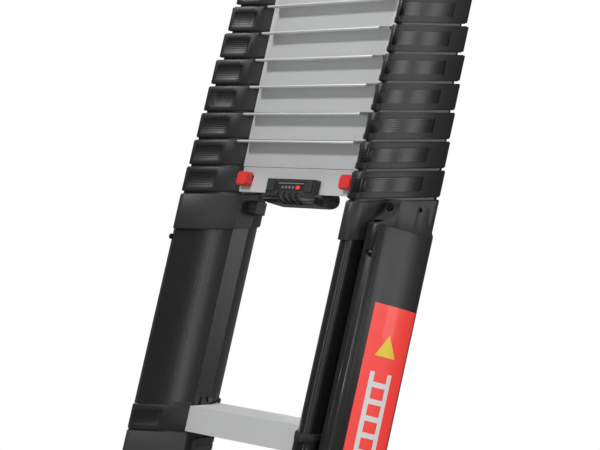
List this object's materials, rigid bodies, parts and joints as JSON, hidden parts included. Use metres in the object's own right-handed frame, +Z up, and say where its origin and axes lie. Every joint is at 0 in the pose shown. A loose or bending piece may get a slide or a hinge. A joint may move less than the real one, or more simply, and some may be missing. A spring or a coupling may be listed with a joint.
{
  "type": "telescoping ladder",
  "caption": "Telescoping ladder with nested black tubes, silver box rungs, red release buttons, a carry handle and a hinged stabiliser leg on each side.",
  "frame": {"origin": "bottom centre, on the ground between the two feet, at mid depth of the stiles", "axes": "+Z up along the stiles, +X along the rungs, +Y from the front (buttons and handle) to the back, where the wall is"},
  "size_m": [0.452, 0.125, 0.7722],
  "materials": {
    "tube": "satin black anodised",
    "rung": "satin",
    "collar": "satin moulded",
    "neck": "satin moulded",
    "socket": "satin moulded",
    "rubber": "matte",
    "handle": "satin moulded",
    "badge": "gloss",
    "steel": "zinc plated",
    "leg": "satin powder coat",
    "button": "satin red"
  },
  "bodies": {
    "frame": {"base_tube_left": "tube", "base_tube_right": "tube", "rung_1": "rung", "rung_2": "rung", "collar_1_left": "collar", "collar_1_right": "collar", "collar_2_left": "collar", "collar_2_right": "collar", "neck_sleeve_left": "neck", "neck_sleeve_right": "neck", "foot_socket_left": "socket", "foot_socket_right": "socket", "rubber_shoe_left": "rubber", "rubber_shoe_right": "rubber", "carry_handle": "handle", "handle_badge": "badge", "foot_bolts": "steel", "hinge_pins": "steel"},
    "leg_left": {"leg_shell_left": "leg", "leg_cap_left": "neck", "leg_foot_left": "rubber", "leg_screw_left": "steel"},
    "leg_right": {"leg_shell_right": "leg", "leg_cap_right": "neck", "leg_foot_right": "rubber", "leg_screw_right": "steel"},
    "release_left": {"release_button_left": "button", "lock_pin_left": "steel"},
    "release_right": {"release_button_right": "button", "lock_pin_right": "steel"},
    "section_3": {"tubes_3": "tube", "collars_3": "collar", "rung_3": "rung"},
    "section_4": {"tubes_4": "tube", "collars_4": "collar", "rung_4": "rung"},
    "section_5": {"tubes_5": "tube", "collars_5": "collar", "rung_5": "rung"},
    "section_6": {"tubes_6": "tube", "collars_6": "collar", "rung_6": "rung"},
    "section_7": {"tubes_7": "tube", "collars_7": "collar", "rung_7": "rung"},
    "section_8": {"tubes_8": "tube", "collars_8": "collar", "rung_8": "rung"},
    "section_9": {"tubes_9": "tube", "collars_9": "collar", "rung_9": "rung"},
    "section_10": {"tubes_10": "tube", "collars_10": "collar", "rung_10": "rung"},
    "section_11": {"tubes_11": "tube", "collars_11": "collar", "rung_11": "rung"},
    "section_12": {"tubes_12": "tube", "collars_12": "collar", "rung_12": "rung"}
  },
  "joints": [
    {"name": "leg_left_hinge", "type": "hinge", "parent": "frame", "child": "leg_left", "pos_m": [-0.208, 0, 0.3735], "axis": [0, 1, 0], "range_deg": [0, 25]},
    {"name": "leg_right_hinge", "type": "hinge", "parent": "frame", "child": "leg_right", "pos_m": [0.208, 0, 0.3735], "axis": [0, -1, 0], "range_deg": [0, 25]},
    {"name": "release_left_slide", "type": "slide", "parent": "frame", "child": "release_left", "axis": [1, 0, 0], "range_m": [0, 0.008], "stiffness_N_per_m": 400, "springref_m": -0.01},
    {"name": "release_right_slide", "type": "slide", "parent": "frame", "child": "release_right", "axis": [-1, 0, 0], "range_m": [0, 0.008], "stiffness_N_per_m": 400, "springref_m": -0.01},
    {"name": "section_3_slide", "type": "slide", "parent": "frame", "child": "section_3", "axis": [0, 0, 1], "range_m": [0, 0.26575]},
    {"name": "section_4_slide", "type": "slide", "parent": "section_3", "child": "section_4", "axis": [0, 0, 1], "range_m": [0, 0.26575]},
    {"name": "section_5_slide", "type": "slide", "parent": "section_4", "child": "section_5", "axis": [0, 0, 1], "range_m": [0, 0.26575]},
    {"name": "section_6_slide", "type": "slide", "parent": "section_5", "child": "section_6", "axis": [0, 0, 1], "range_m": [0, 0.26575]},
    {"name": "section_7_slide", "type": "slide", "parent": "section_6", "child": "section_7", "axis": [0, 0, 1], "range_m": [0, 0.26575]},
    {"name": "section_8_slide", "type": "slide", "parent": "section_7", "child": "section_8", "axis": [0, 0, 1], "range_m": [0, 0.26575]},
    {"name": "section_9_slide", "type": "slide", "parent": "section_8", "child": "section_9", "axis": [0, 0, 1], "range_m": [0, 0.26575]},
    {"name": "section_10_slide", "type": "slide", "parent": "section_9", "child": "section_10", "axis": [0, 0, 1], "range_m": [0, 0.26575]},
    {"name": "section_11_slide", "type": "slide", "parent": "section_10", "child": "section_11", "axis": [0, 0, 1], "range_m": [0, 0.26575]},
    {"name": "section_12_slide", "type": "slide", "parent": "section_11", "child": "section_12", "axis": [0, 0, 1], "range_m": [0, 0.26575]}
  ]
}
